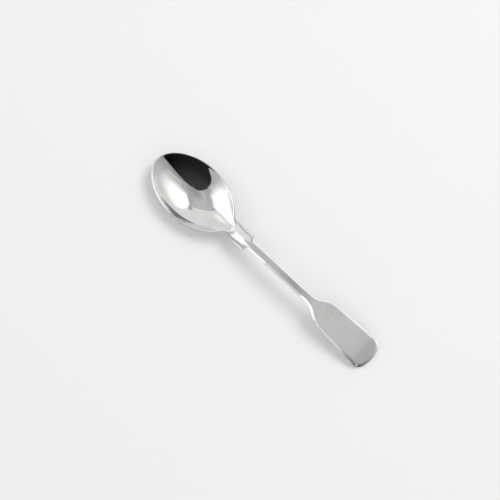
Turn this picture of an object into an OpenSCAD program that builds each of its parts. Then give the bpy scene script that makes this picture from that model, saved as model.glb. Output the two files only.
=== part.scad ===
// Fiddle-pattern teaspoon, pressed from one blank of stainless steel.
// The spoon lies on its back: X runs from the tip of the bowl to the end of the handle,
// Z is up, and the origin is on the table below the middle of the spoon.

/* [Whole spoon] */
// Length from the tip of the bowl to the end of the handle
spoon_l = 138; // [128:1:160]

/* [Bowl] */
// Length of the egg from its tip to where it would close inside the neck
bowl_l = 47.4; // [42:0.1:52]
// Width over the rim at the widest place
bowl_w = 30; // [25:0.5:36]
// Height of the rim above the table at its lowest place
rim_h = 6.6; // [5.5:0.1:9]
// Thickness of the metal at the bottom of the bowl
bowl_wall = 1.2; // [0.8:0.1:1.6]
// Width of the narrow land along the rim
rim_land = 0.75; // [0.5:0.05:1.2]
// Height of the outer edge of the rim
rim_edge = 0.6; // [0.4:0.05:0.9]

/* [Neck and shoulders] */
// Length of the plain neck between the egg and the shoulders
neck_l = 1.4; // [1:0.1:3]
// Length of the square-ended shoulders beside the neck
shoulder_l = 10.8; // [7:0.1:13]
// Width over the two shoulders at their square ends
shoulder_w = 9.3; // [8.6:0.1:11]
// Width over the two shoulders where they leave the bowl
shoulder_root_w = 8.5; // [7.8:0.1:9]
// Width of the raised neck between the shoulders, at the bowl
neck_w = 6.6; // [6:0.1:7]
// Width of the raised neck at the square ends of the shoulders
neck_end_w = 5.3; // [5:0.1:6.2]
// How far the shoulders lie below the crown of the neck where they meet it
shoulder_drop = 1.3; // [0.5:0.05:1.5]
// Thickness of the shoulders
shoulder_t = 1.3; // [1:0.05:1.6]
// Thickness of the neck
neck_t = 2.7; // [2.4:0.05:3.2]

/* [Stem] */
// Width of the stem at its narrowest
stem_w = 4.9; // [4:0.1:5.4]
// Thickness of the stem at its narrowest
stem_t = 2.3; // [2:0.05:2.8]
// Width of the bevels along the top of the handle
bevel_w = 1.3; // [0.8:0.05:1.4]
// How far the bevels fall to the edge of the handle
bevel_drop = 1.1; // [0.3:0.05:1.2]
// Height of the handle's crest above the table
crest_h = 12.2; // [9:0.1:16]

/* [Fiddle end] */
// Length of the broad end, from the middle of the flare to the end of the handle
fiddle_l = 34.8; // [28:0.1:44]
// Length over which the stem flares into the broad end
flare_l = 13.2; // [9:0.1:15]
// Width of the broad end just past the flare
fiddle_waist_w = 13.7; // [12:0.1:15]
// Width of the broad end at its widest
fiddle_w = 16.4; // [15:0.1:19]
// Thickness of the broad end
end_t = 1.85; // [1.4:0.05:2.2]
// Length of the rounding at the very end
end_round_l = 6.6; // [5:0.1:10]
// Length of the lip that turns down at the end
turn_l = 5.6; // [4:0.1:8]
// Extra fall of that lip
turn_h = 0.7; // [0.3:0.05:1]

/* [Hidden] */

// How far the egg's centre and its two tapers lie from those of a plain ellipse
egg_centre_share = -0.15;
egg_taper_share = -0.165;
egg_belly_share = -0.055;
// How much of the bowl's depth follows the steeper curve near the rim
cup_steep_share = 0.3;
// Least share of a rounded end's width, squared, which leaves a small flat instead of a point
tip_flat_share = 0.0006;
// Heights that draw the crown line up at even steps along the spoon, starting one step
// before the tip: shares of the rim's height over the bowl, then of the crest's height
rim_height_shares = [1.3, 1.14, 1.03, 0.985, 1.03, 1.25];
handle_height_shares = [0.845, 0.965, 1.02, 1.005, 0.9, 0.71, 0.475, 0.205];
// Softness of the inner edge of the rim, and of the hollow's run-out into the neck
rim_soft = 0.25;
neck_soft = 3;
// Softness of the crease where the heel leaves the back of the bowl
heel_soft = 1;
// Softness of the outline where the egg runs into the shoulders
fillet_soft = 1.8;
// Width of the bevels where the neck leaves the bowl, as a share of its half-width, and how
// many times the shoulders' length they take to narrow
neck_bevel_share = 0.95;
bevel_run_share = 1.3;
// Softness of the creases of the bevels at the neck and along the handle, and of the lip, squared
neck_crease_share = 0.15;
bevel_crease_share = 0.06;
lip_soft_share = 0.04;
// Places along the egg where the fillet of the outline and the rise of the neck begin, and
// where the heel begins, and the lengths over which fillet and heel come in full
fillet_start_share = 0.8;
fillet_run_share = 0.12;
heel_start_share = 0.7;
heel_run_share = 0.25;
// Rates at which the heel and the underside of the shoulders fall away towards the bowl
heel_slope_share = 0.25;
web_slope_share = 0.5;
// Place between the root and the end of the shoulders where they start to widen
shoulder_widen_share = -0.15;
// Share of the shoulders over which the grooves beside the neck deepen, and how round the
// shoulders' tops are
groove_run_share = 0.45;
shoulder_round_share = 0.35;
// Share of the stem over which it narrows, and over which it thins
stem_narrow_share = 0.42;
stem_thin_share = 0.5;
// Share of the broad end over which it comes to its own thickness
end_thin_share = 0.7;
// Thickness at the handle's edges as a share of that in the middle
edge_t_share = 0.85;
// Sharpness of the rounding at the handle's end
end_round_power = 3.3;
// Place of the cut between stem and broad end, before the middle of the flare
flare_cut_share = 0.5;

// Steps of the surface grids along the spoon
bowl_tip_steps = 24;
bowl_back_steps = 24;
neck_steps = 10;
stem_steps = 26;
fiddle_steps = 42;
// Places of their columns: from the middle to the hollow's edge, from there to the rim,
// and from the middle to the edge of the handle, of the neck and of a shoulder
hollow_column_shares = [0, 0.13, 0.26, 0.39, 0.52, 0.64, 0.75, 0.84, 0.92, 0.97];
land_column_shares = [0, 0.25, 0.6, 1];
handle_column_shares = [0, 0.3, 0.55, 0.68, 0.76, 0.88, 1];
neck_column_shares = [0, 0.35, 0.6, 0.8, 1];
shoulder_column_shares = [0, 0.35, 0.7, 1];
// Least place of the hollow's edge among the bowl's columns
least_hollow_share = 0.55;
// Step for slopes, as a share of the bevel's width, and the least slope counted
slope_step_share = 0.05;
least_slope_share = 0.02;

// Distances of the main stations from the tip of the bowl
shoulder_s = bowl_l + neck_l;
rise_s = bowl_l * fillet_start_share;
stem_s = shoulder_s + shoulder_l;
flare_s = spoon_l - fiddle_l;
fiddle_s = flare_s - flare_l * flare_cut_share;
slope_step = bevel_w * slope_step_share;

// Plain helpers
function clamp(v, low, high) = max(low, min(high, v));
function mix(a, b, t) = a + (b - a) * t;
function ease(t) = let (c = clamp(t, 0, 1)) c * c * (3 - 2 * c);
function soft_min(a, b, r) = (a + b - sqrt((a - b) * (a - b) + r * r)) / 2;
function soft_max(a, b, r) = (a + b + sqrt((a - b) * (a - b) + r * r)) / 2;
function tanh(v) = 1 - 2 / (exp(2 * v) + 1);
function hinge(v, soft) = (v + sqrt(v * v + soft)) / 2;
function both_sides(ys) = concat([for (i = [len(ys) - 1:-1:1]) -ys[i]], ys);

// Height of the smooth curve that even control heights draw towards themselves
function spline(heights, u) =
    let (
        i = clamp(floor(u), 0, len(heights) - 4),
        t = u - i,
        w0 = pow(1 - t, 3),
        w1 = 3 * pow(t, 3) - 6 * t * t + 4,
        w2 = -3 * pow(t, 3) + 3 * t * t + 3 * t + 1,
        w3 = pow(t, 3)
    )
    (w0 * heights[i] + w1 * heights[i + 1] + w2 * heights[i + 2] + w3 * heights[i + 3]) / 6;

// The egg, drawn in by an inset: u runs from -1 at its tip to 1 at its back,
// and the bowl is deepest where u is 0
function egg_place(s, inset) = 2 * (s - inset) / (bowl_l - 2 * inset) - 1;
function egg_u(s, inset) =
    let (x = egg_place(s, inset))
    x + egg_centre_share * (1 - x * x);
function egg_taper(s, inset) =
    let (x = egg_place(s, inset))
    1 + egg_taper_share * x + egg_belly_share * x * x;
function egg_round(s, inset) = sqrt(max(1 - pow(egg_u(s, inset), 2), tip_flat_share));
egg_peak_share = max([for (i = [0:100]) let (s = bowl_l * i / 100) egg_taper(s, 0) * egg_round(s, 0)]);
egg_b = bowl_w / 2 / egg_peak_share;
function egg_s(u) =
    let (c = egg_centre_share)
    bowl_l * (1 + (1 - sqrt(1 - 4 * c * (u - c))) / (2 * c)) / 2;
function egg_half_w(s, inset) = (egg_b - inset) * egg_taper(s, inset) * egg_round(s, inset);
function egg_rho2(s, y, inset) =
    pow(egg_u(s, inset), 2) + pow(y / ((egg_b - inset) * egg_taper(s, inset)), 2);
function cup(rho2) = (1 - cup_steep_share) * rho2 + cup_steep_share * rho2 * rho2;

// Half-widths by distance from the tip
function shoulder_half_w(s) =
    mix(shoulder_root_w, shoulder_w, ease((s - shoulder_s) / shoulder_l - shoulder_widen_share)) / 2;
function fillet(s) = fillet_soft * clamp((shoulder_s - s) / neck_l, 0, 1);
function bowl_half_w(s) =
    mix(
        egg_half_w(s, 0),
        soft_max(egg_half_w(s, 0), shoulder_half_w(s), fillet(s)),
        ease((s / bowl_l - fillet_start_share) / fillet_run_share)
    );
function neck_half_w(s) = mix(neck_w, neck_end_w, clamp((s - shoulder_s) / shoulder_l, 0, 1)) / 2;
function stem_half_w(s) =
    mix(neck_end_w, stem_w, ease((s - stem_s) / (flare_s - stem_s) / stem_narrow_share)) / 2;
function fiddle_half_w(s) =
    mix(fiddle_waist_w, fiddle_w, ease((s - flare_s) / (fiddle_l - end_round_l / 2))) / 2;
function flare(s) = (1 + tanh(4 * (s - flare_s) / flare_l)) / 2;
function side_half_w(s) = mix(stem_half_w(s), fiddle_half_w(s), flare(s));
function end_fall(s) = pow(clamp((s - spoon_l) / end_round_l + 1, 0, 1), end_round_power);
function handle_half_w(s) = side_half_w(s) * sqrt(max(1 - end_fall(s), tip_flat_share));

// Thickness of the middle of the neck and the handle
function thickness(s) =
    mix(
        mix(neck_t, stem_t, ease((s - shoulder_s) / (flare_s - shoulder_s) / stem_thin_share)),
        end_t,
        ease((s - flare_s + flare_l) / (fiddle_l * end_thin_share))
    );

// Height of the crown line: the rim over the bowl, then the handle down to its lip
function lip(s) = turn_h * hinge((s - spoon_l) / turn_l + 1, lip_soft_share);
crown_known = concat(rim_h * rim_height_shares, crest_h * handle_height_shares);
crown_steps = len(crown_known) - 2;
crown_last =
    6 * (thickness(spoon_l) + lip(spoon_l)) - crown_known[crown_steps] - 4 * crown_known[crown_steps + 1];
crown_heights = concat(crown_known, [crown_last]);
function crown(s) = spline(crown_heights, s / spoon_l * crown_steps) - lip(s);

// Distance in from the outline of the neck and of the handle with its rounded end
function edge_half_w(s) = s < stem_s ? neck_half_w(s) : side_half_w(s);
function widening(s) =
    s < stem_s ? 0 : (side_half_w(s + slope_step) - side_half_w(s - slope_step)) / (2 * slope_step);
function edge_distance(s, y) =
    let (
        w = edge_half_w(s),
        q = sqrt(end_fall(s) + pow(y / w, 2) + pow(least_slope_share, 2)),
        falling = (end_fall(s + slope_step) - end_fall(s - slope_step)) / (2 * slope_step),
        along = widening(s) * (1 - q + pow(y / w, 2) / q) - w * falling / (2 * q),
        across = y / (w * q)
    )
    w * (1 - q) / sqrt(along * along + across * across + pow(least_slope_share, 2));

// How far the neck has come to stand above the rim, and the height of the rim beside it
function neck_rise(s) = ease((s - rise_s) / (shoulder_s - rise_s + shoulder_l * groove_run_share));
function rim(s) = crown(s) - shoulder_drop * neck_rise(s);

// The top of the spoon: the hollow pressed into the crown, a smooth ridge that becomes the
// neck between its two shoulders, and the bevels along the handle
function ridge_fall(s, y) = shoulder_drop * neck_rise(s) * ease(2 * abs(y) / shoulder_root_w);
function groove_run(s) = ease((s - shoulder_s) / shoulder_l / groove_run_share);
function bevel_run(s) = ease((s - shoulder_s) / shoulder_l / bevel_run_share);
function bevel_reach(s) = mix(neck_w / 2 * neck_bevel_share, bevel_w, bevel_run(s));
function crease_soft(s) = mix(neck_crease_share, bevel_crease_share, bevel_run(s));
function bevel(s, y) = bevel_drop * hinge(1 - edge_distance(s, y) / bevel_reach(s), crease_soft(s));
function wing_fall(s, y) =
    shoulder_drop + shoulder_round_share * pow(abs(y) - neck_half_w(s), 2) * 2 / shoulder_w;
function top_fall(s, y) = mix(ridge_fall(s, y), bevel(s, y), groove_run(s));
function shoulder_fall(s, y) = mix(ridge_fall(s, y), wing_fall(s, y), groove_run(s));
function hollow(s, y) =
    bowl_wall + (rim(min(s, shoulder_s)) - bowl_wall) * cup(egg_rho2(s, y, rim_land));
function run_out(s, y) =
    ease((s - rise_s) / (bowl_l - rise_s)) * pow(max(1 - pow(2 * y / shoulder_root_w, 2), 0), 2);
function top_soft(s, y) = mix(rim_soft, neck_soft, run_out(s, y));
function top(s, y) = soft_min(hollow(s, y), crown(s) - top_fall(s, y), top_soft(s, y));
function shoulder_top(s, y) = soft_min(hollow(s, y), crown(s) - shoulder_fall(s, y), top_soft(s, y));

// The underside: the back of the bowl, the heel that fairs the neck into it, the flat
// below the shoulders, and the handle
function arch(s, y, w) = thickness(s) * (1 - edge_t_share) * pow(y / w, 2);
function bowl_back(s, y) = (rim(s) - rim_edge) * cup(egg_rho2(s, y, 0));
function heel(s, y) =
    crown(s) - thickness(s) - heel_slope_share * max(shoulder_s - s, 0) + arch(s, y, neck_half_w(s));
function web(s) = rim(s) - shoulder_t + web_slope_share * max(shoulder_s - s, 0);
function root_bottom(s, y) =
    soft_min(bowl_back(s, y), soft_min(heel(s, y), web(s), heel_soft / 2), heel_soft);
function bowl_bottom(s, y) =
    mix(bowl_back(s, y), root_bottom(s, y), ease((s / bowl_l - heel_start_share) / heel_run_share));
function handle_bottom(s, y) = crown(s) - thickness(s) + arch(s, y, side_half_w(s));
function neck_bottom(s, y) =
    mix(root_bottom(s, y), handle_bottom(s, y), ease((s - shoulder_s) / shoulder_l));
function shoulder_bottom(s, y) =
    mix(root_bottom(s, y), web(s), ease((s - shoulder_s) / shoulder_l));

// One closed solid between a top grid and a bottom grid of points, which share their plan
module slab(tops, bottoms) {
    rows = len(tops);
    cols = len(tops[0]);
    ring = 2 * cols;
    last = (rows - 1) * ring;
    points = [
        for (i = [0:rows - 1]) each concat(tops[i], [for (j = [cols - 1:-1:0]) bottoms[i][j]])
    ];
    sides = [
        for (i = [0:rows - 2], j = [0:ring - 1])
            let (a = i * ring + j, b = i * ring + (j + 1) % ring, c = a + ring, d = b + ring)
            each [[a, b, c], [b, d, c]]
    ];
    front = [
        for (j = [0:cols - 2])
            let (a = j, b = j + 1, c = ring - 1 - j, d = ring - 2 - j)
            each [[a, c, b], [b, c, d]]
    ];
    back = [for (f = front) [f[0] + last, f[2] + last, f[1] + last]];
    polyhedron(points = points, faces = concat(sides, front, back), convexity = 6);
}

function at(s, y, z) = [s - spoon_l / 2, y, z];
function even_stations(from, to, steps) = [for (i = [0:steps]) mix(from, to, i / steps)];

// Stations of the bowl: close together at the round tip, even behind the deepest place
function bowl_stations() = concat(
    [for (i = [0:bowl_tip_steps - 1]) egg_s(-cos(90 * i / bowl_tip_steps))],
    even_stations(egg_s(0), shoulder_s, bowl_back_steps)
);
function bowl_columns(s) =
    let (
        w = bowl_half_w(s),
        land = min(rim_land / 2, w / 4),
        h = clamp(egg_half_w(s, rim_land), least_hollow_share * w, w - land)
    )
    both_sides(concat(
        [for (c = hollow_column_shares) h * c],
        [for (c = land_column_shares) mix(h, w, c)]
    ));

module bowl() {
    stations = bowl_stations();
    color("silver")
    slab(
        [for (s = stations) [for (y = bowl_columns(s)) at(s, y, top(s, y))]],
        [for (s = stations) [for (y = bowl_columns(s)) at(s, y, bowl_bottom(s, y))]]
    );
}

// The raised middle between the shoulders
module neck() {
    stations = even_stations(shoulder_s, stem_s, neck_steps);
    columns = [for (s = stations) both_sides(neck_column_shares) * neck_half_w(s)];
    rows = [0:neck_steps];
    color("gainsboro")
    slab(
        [for (i = rows) [for (y = columns[i]) at(stations[i], y, top(stations[i], y))]],
        [for (i = rows) [for (y = columns[i]) at(stations[i], y, neck_bottom(stations[i], y))]]
    );
}

// A low square-ended wing that lies against the side of the neck
module shoulder() {
    stations = even_stations(shoulder_s, stem_s, neck_steps);
    columns = [
        for (s = stations) [for (c = shoulder_column_shares) mix(neck_half_w(s), shoulder_half_w(s), c)]
    ];
    rows = [0:neck_steps];
    color("lightgray")
    slab(
        [for (i = rows) [for (y = columns[i]) at(stations[i], y, shoulder_top(stations[i], y))]],
        [for (i = rows) [for (y = columns[i]) at(stations[i], y, shoulder_bottom(stations[i], y))]]
    );
}

module left_shoulder() {
    shoulder();
}

module right_shoulder() {
    mirror([0, 1, 0]) shoulder();
}

// A length of the handle, with its crown, its two bevels and its arched underside
module handle_run(stations) {
    shares = both_sides(handle_column_shares);
    columns = [for (s = stations) shares * handle_half_w(s)];
    rows = [0:len(stations) - 1];
    slab(
        [for (i = rows) [for (y = columns[i]) at(stations[i], y, top(stations[i], y))]],
        [for (i = rows) [for (y = columns[i]) at(stations[i], y, handle_bottom(stations[i], y))]]
    );
}

module stem() {
    color("silver")
    handle_run(even_stations(stem_s, fiddle_s, stem_steps));
}

// The broad end; its stations crowd towards the rounding
module fiddle_end() {
    color("gainsboro")
    handle_run([for (i = [0:fiddle_steps]) mix(fiddle_s, spoon_l, sin(90 * i / fiddle_steps))]);
}

bowl();
neck();
left_shoulder();
right_shoulder();
stem();
fiddle_end();
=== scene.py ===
"""Looks of a fiddle-pattern teaspoon in polished stainless steel.

The spoon lies on its back. In the frame X runs from the tip of the bowl to the end of the
handle, Y to the spoon's left, and Z is up. Every skin is a height over the plan: the top and
the underside are formulas of s, the distance from the tip, and y, the distance from the
middle line, and a rounded edge is carried round the outline between them. The formulas work
in millimetres on whole arrays.
"""

import logging
import math
from abc import ABC, abstractmethod
from collections.abc import Callable
from dataclasses import dataclass, field
from enum import Enum

import bpy
import numpy as np
from mathutils import Matrix, Vector


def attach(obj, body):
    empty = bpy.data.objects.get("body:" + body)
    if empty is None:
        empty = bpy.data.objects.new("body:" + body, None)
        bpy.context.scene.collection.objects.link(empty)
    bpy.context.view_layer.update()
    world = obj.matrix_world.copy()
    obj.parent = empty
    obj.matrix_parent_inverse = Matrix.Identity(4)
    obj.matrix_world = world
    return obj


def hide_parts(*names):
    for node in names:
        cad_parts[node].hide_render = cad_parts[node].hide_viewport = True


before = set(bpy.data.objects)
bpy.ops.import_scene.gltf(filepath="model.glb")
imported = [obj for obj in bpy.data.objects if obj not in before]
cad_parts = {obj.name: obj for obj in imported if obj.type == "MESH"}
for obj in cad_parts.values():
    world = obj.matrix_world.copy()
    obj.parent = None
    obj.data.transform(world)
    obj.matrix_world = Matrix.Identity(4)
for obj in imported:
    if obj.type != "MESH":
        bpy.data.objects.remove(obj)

LOG = logging.getLogger("teaspoon")
Array = np.ndarray
Height = Callable[[Array, Array], Array]
Row = float | tuple[float, ...]
Colour = tuple[float, float, float, float]
Socket = bpy.types.NodeSocket
MM = 0.001
BODY = "root"
EDGE_ATTRIBUTE = "edge_share"
MIX_FACTOR, MIX_FIRST, MIX_SECOND, MIX_RESULT = 0, 6, 7, 2


class Side(Enum):
    """The two sides of the spoon, by the sign of Y."""

    LEFT = 1.0
    RIGHT = -1.0


class Turn(Enum):
    """Where the rows of a skin start: at a rounded end, or at a flat cut."""

    ROUNDED = "rounded"
    CUT = "cut"


def ease(t: Array) -> Array:
    """Smooth step: 3 t squared less 2 t cubed, held at 0 and 1."""
    c = np.clip(t, 0.0, 1.0)
    return c * c * (3.0 - 2.0 * c)


def mix(a: Array, b: Array, t: Array) -> Array:
    """Straight blend: a plus t times the way from a to b."""
    return a + (b - a) * t


def soft_min(a: Array, b: Array, r: Array) -> Array:
    """Lesser height with a rounded crossing: half of the sum less the root of gap and r squared."""
    return (a + b - np.sqrt((a - b) ** 2 + r * r)) / 2.0


def soft_max(a: Array, b: Array, r: Array) -> Array:
    """Greater width with a rounded crossing: half of the sum plus the root of gap and r squared."""
    return (a + b + np.sqrt((a - b) ** 2 + r * r)) / 2.0


def rise(s: Array, start: float, run: float) -> Array:
    """Smooth step of a place, from 0 at a start to 1 a run further on."""
    return ease((s - start) / run)


def near_end(s: Array, end: float, run: float) -> Array:
    """Place within the run before an end: 0 where it starts and 1 at the end."""
    return np.clip((s - end) / run + 1.0, 0.0, 1.0)


def hinge(v: Array, soft: Array) -> Array:
    """Zero below 0 and v above it, rounded: half of v plus the root of v squared and soft."""
    return (v + np.sqrt(v * v + soft)) / 2.0


def unit(v: Array) -> Array:
    """Vectors along the last axis at length 1."""
    return v / np.linalg.norm(v, axis=-1, keepdims=True)


def linked(name: str, data: bpy.types.ID) -> bpy.types.Object:
    """A new object in the scene, at the origin and unturned.

    Args:
        name: the object's name.
        data: its mesh, camera or light.

    Returns:
        The object.
    """
    made = bpy.data.objects.new(name, data)
    bpy.context.scene.collection.objects.link(made)
    return made


@dataclass(frozen=True)
class SpoonForm:
    """Sizes of the spoon in millimetres, and the formulas of its surfaces.

    Names that end in _l, _w, _t and _h are lengths, widths, thicknesses and heights, those in
    _soft are roundings of a crossing, and those in _share are shares of another size. Those
    in _s are distances from the tip. In the formulas s and y are arrays of one shape.
    """

    spoon_l: float = 138.0
    bowl_l: float = 47.4
    bowl_w: float = 30.0
    rim_h: float = 6.6
    bowl_wall: float = 1.2
    rim_land: float = 0.75
    rim_edge: float = 0.6
    neck_l: float = 1.4
    shoulder_l: float = 10.8
    shoulder_w: float = 9.3
    shoulder_root_w: float = 8.5
    neck_w: float = 6.6
    neck_end_w: float = 5.3
    shoulder_drop: float = 1.3
    shoulder_t: float = 1.3
    neck_t: float = 2.7
    stem_w: float = 4.9
    stem_t: float = 2.3
    bevel_w: float = 1.3
    bevel_drop: float = 1.1
    crest_h: float = 12.2
    fiddle_l: float = 34.8
    flare_l: float = 13.2
    fiddle_waist_w: float = 13.7
    fiddle_w: float = 16.4
    end_t: float = 1.85
    end_round_l: float = 6.6
    turn_l: float = 5.6
    turn_h: float = 0.7
    egg_centre_share: float = -0.15
    egg_taper_share: float = -0.165
    egg_belly_share: float = -0.055
    cup_steep_share: float = 0.3
    rim_height_shares: tuple[float, ...] = (1.3, 1.14, 1.03, 0.985, 1.03, 1.25)
    handle_height_shares: tuple[float, ...] = (0.845, 0.965, 1.02, 1.005, 0.9, 0.71, 0.475, 0.205)
    rim_soft: float = 0.25
    neck_soft: float = 3.0
    heel_soft: float = 1.0
    fillet_soft: float = 1.8
    neck_bevel_share: float = 0.95
    bevel_run_share: float = 1.3
    neck_crease_share: float = 0.15
    bevel_crease_share: float = 0.0002
    lip_soft_share: float = 0.04
    fillet_start_share: float = 0.8
    fillet_run_share: float = 0.12
    heel_start_share: float = 0.7
    heel_run_share: float = 0.25
    heel_slope_share: float = 0.25
    web_slope_share: float = 0.5
    shoulder_widen_share: float = -0.15
    groove_run_share: float = 0.45
    shoulder_round_share: float = 0.35
    stem_narrow_share: float = 0.42
    stem_thin_share: float = 0.5
    end_thin_share: float = 0.7
    edge_t_share: float = 0.85
    end_round_power: float = 3.3
    flare_cut_share: float = 0.5
    flare_steepness: float = 4.0
    corner_l: float = 1.3
    corner_power: float = 5.0
    slope_step_share: float = 0.05
    least_slope_share: float = 0.02
    width_samples: int = 101

    @property
    def shoulder_s(self) -> float:
        """Where the shoulders leave the bowl."""
        return self.bowl_l + self.neck_l

    @property
    def rise_s(self) -> float:
        """Where the neck starts to rise out of the rim."""
        return self.bowl_l * self.fillet_start_share

    @property
    def stem_s(self) -> float:
        """Where the shoulders end."""
        return self.shoulder_s + self.shoulder_l

    @property
    def flare_s(self) -> float:
        """The middle of the flare."""
        return self.spoon_l - self.fiddle_l

    @property
    def fiddle_s(self) -> float:
        """The cut between stem and broad end."""
        return self.flare_s - self.flare_l * self.flare_cut_share

    def egg_place(self, s: Array, inset: float) -> Array:
        """Place along the egg drawn in by an inset: -1 at its tip and 1 at its back."""
        return 2.0 * (s - inset) / (self.bowl_l - 2.0 * inset) - 1.0

    def egg_u(self, s: Array, inset: float) -> Array:
        """Place along the egg with its centre moved: x plus a share of 1 less x squared."""
        x = self.egg_place(s, inset)
        return x + self.egg_centre_share * (1.0 - x * x)

    def egg_taper(self, s: Array, inset: float) -> Array:
        """Taper of the egg's width: 1 plus shares of x and of x squared."""
        x = self.egg_place(s, inset)
        return 1.0 + self.egg_taper_share * x + self.egg_belly_share * x * x

    def egg_round(self, s: Array, inset: float) -> Array:
        """Share of the egg's width at a place: its taper times the root of 1 less u squared."""
        return self.egg_taper(s, inset) * np.sqrt(np.maximum(1.0 - self.egg_u(s, inset) ** 2, 0.0))

    @property
    def egg_b(self) -> float:
        """Half-width that the egg would have without its taper."""
        s = np.linspace(0.0, self.bowl_l, self.width_samples)
        return self.bowl_w / 2.0 / float(self.egg_round(s, 0.0).max())

    def egg_half_w(self, s: Array, inset: float) -> Array:
        """Half-width of the egg drawn in by an inset."""
        return (self.egg_b - inset) * self.egg_round(s, inset)

    def cup(self, s: Array, y: Array, inset: float) -> Array:
        """Depth profile: a blend of rho squared and its square, where rho is 1 on the egg."""
        rho2 = self.egg_u(s, inset) ** 2 + (y / (self.egg_b - inset) / self.egg_taper(s, inset)) ** 2
        return mix(rho2, rho2 * rho2, self.cup_steep_share)

    def shoulder_half_w(self, s: Array) -> Array:
        """Half-width over the shoulders, eased from their root to their square ends."""
        start = self.shoulder_s + self.shoulder_l * self.shoulder_widen_share
        return mix(self.shoulder_root_w, self.shoulder_w, rise(s, start, self.shoulder_l)) / 2.0

    def wing_half_w(self, s: Array) -> Array:
        """Outer edge of a shoulder: its width beside the neck times a rounded square end."""
        corner = near_end(s, self.stem_s, self.corner_l) ** self.corner_power
        return mix(self.neck_half_w(s), self.shoulder_half_w(s), np.sqrt(np.maximum(1.0 - corner, 0.0)))

    def bowl_half_w(self, s: Array) -> Array:
        """Half-width of the bowl: the egg, softly joined to the shoulders near its back.

        Args:
            s: distances from the tip.

        Returns:
            The half-widths.
        """
        egg = self.egg_half_w(s, 0.0)
        soft = self.fillet_soft * np.clip((self.shoulder_s - s) / self.neck_l, 0.0, 1.0)
        joined = soft_max(egg, self.shoulder_half_w(s), soft)
        return mix(egg, joined, rise(s, self.rise_s, self.bowl_l * self.fillet_run_share))

    def neck_half_w(self, s: Array) -> Array:
        """Half-width of the raised neck, in a straight taper."""
        t = np.clip((s - self.shoulder_s) / self.shoulder_l, 0.0, 1.0)
        return mix(self.neck_w, self.neck_end_w, t) / 2.0

    def stem_half_w(self, s: Array) -> Array:
        """Half-width of the stem, eased to its narrowest."""
        run = (self.flare_s - self.stem_s) * self.stem_narrow_share
        return mix(self.neck_end_w, self.stem_w, rise(s, self.stem_s, run)) / 2.0

    def broad_half_w(self, s: Array) -> Array:
        """Half-width of the broad end, eased from its waist to its widest."""
        run = self.fiddle_l - self.end_round_l / 2.0
        return mix(self.fiddle_waist_w, self.fiddle_w, rise(s, self.flare_s, run)) / 2.0

    def side_half_w(self, s: Array) -> Array:
        """Half-width of neck and handle: the stem, blended by a tanh flare into the broad end.

        Args:
            s: distances from the tip.

        Returns:
            The half-widths, without the rounding of the very end.
        """
        flare = (1.0 + np.tanh(self.flare_steepness * (s - self.flare_s) / self.flare_l)) / 2.0
        handle = mix(self.stem_half_w(s), self.broad_half_w(s), flare)
        return np.where(s < self.stem_s, self.neck_half_w(s), handle)

    def end_half_w(self, s: Array) -> Array:
        """Half-width of the broad end, rounded off at the very end."""
        return self.side_half_w(s) * np.sqrt(np.maximum(1.0 - self.end_fall(s), 0.0))

    def end_fall(self, s: Array) -> Array:
        """Rounding of the very end: a power of the place within the end's rounding."""
        return near_end(s, self.spoon_l, self.end_round_l) ** self.end_round_power

    def thickness(self, s: Array) -> Array:
        """Thickness of the metal in the middle, eased from neck to stem to broad end.

        Args:
            s: distances from the tip.

        Returns:
            The thicknesses.
        """
        thinned = rise(s, self.shoulder_s, (self.flare_s - self.shoulder_s) * self.stem_thin_share)
        broadened = rise(s, self.flare_s - self.flare_l, self.fiddle_l * self.end_thin_share)
        return mix(mix(self.neck_t, self.stem_t, thinned), self.end_t, broadened)

    def lip(self, s: Array) -> Array:
        """Extra fall of the turned-down lip at the end."""
        return self.turn_h * hinge((s - self.spoon_l) / self.turn_l + 1.0, self.lip_soft_share)

    @property
    def crown_heights(self) -> Array:
        """Control heights of the crown line; the last one gives the very end its thickness.

        Returns:
            The heights, from the tip on.
        """
        rim = self.rim_h * np.array(self.rim_height_shares)
        known = np.concatenate([rim, self.crest_h * np.array(self.handle_height_shares)])
        last = 6.0 * (self.thickness(self.spoon_l) + self.lip(self.spoon_l)) - known[-2] - 4.0 * known[-1]
        return np.append(known, last)

    def crown(self, s: Array) -> Array:
        """Height of the crown line: an even cubic B-spline of the control heights, less the lip.

        Args:
            s: distances from the tip.

        Returns:
            The heights.
        """
        heights = self.crown_heights
        u = np.asarray(s, float) / self.spoon_l * (len(heights) - 3)
        i = np.clip(np.floor(u), 0, len(heights) - 4).astype(int)
        t = u - i
        w = ((1 - t) ** 3, 3 * t**3 - 6 * t**2 + 4, -3 * t**3 + 3 * t**2 + 3 * t + 1, t**3)
        return sum(share * heights[i + k] for k, share in enumerate(w)) / 6.0 - self.lip(s)

    def edge_distance(self, s: Array, y: Array) -> Array:
        """Distance in from the outline of neck and handle, to first order.

        With q the root of the end's fall plus y over w squared, the outline is where w times
        1 less q is zero; the distance is that value over the length of its slope.

        Args:
            s: distances from the tip.
            y: distances from the middle line.

        Returns:
            The distances, above zero inside the outline.
        """
        step, least = self.bevel_w * self.slope_step_share, self.least_slope_share**2
        w = self.side_half_w(s)
        across2 = (y / w) ** 2
        q = np.sqrt(self.end_fall(s) + across2 + least)
        widening, falling = (
            (formula(s + step) - formula(s - step)) / (2.0 * step)
            for formula in (self.side_half_w, self.end_fall)
        )
        widening = np.where(s < self.stem_s + step, 0.0, widening)
        along = widening * (1.0 - q + across2 / q) - w * falling / (2.0 * q)
        return w * (1.0 - q) / np.sqrt(along**2 + across2 / (q * q) + least)

    def rim(self, s: Array) -> Array:
        """Height of the rim and the shoulders: the crown less the neck's eased rise."""
        run = self.shoulder_s - self.rise_s + self.shoulder_l * self.groove_run_share
        return self.crown(s) - self.shoulder_drop * rise(s, self.rise_s, run)

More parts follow.
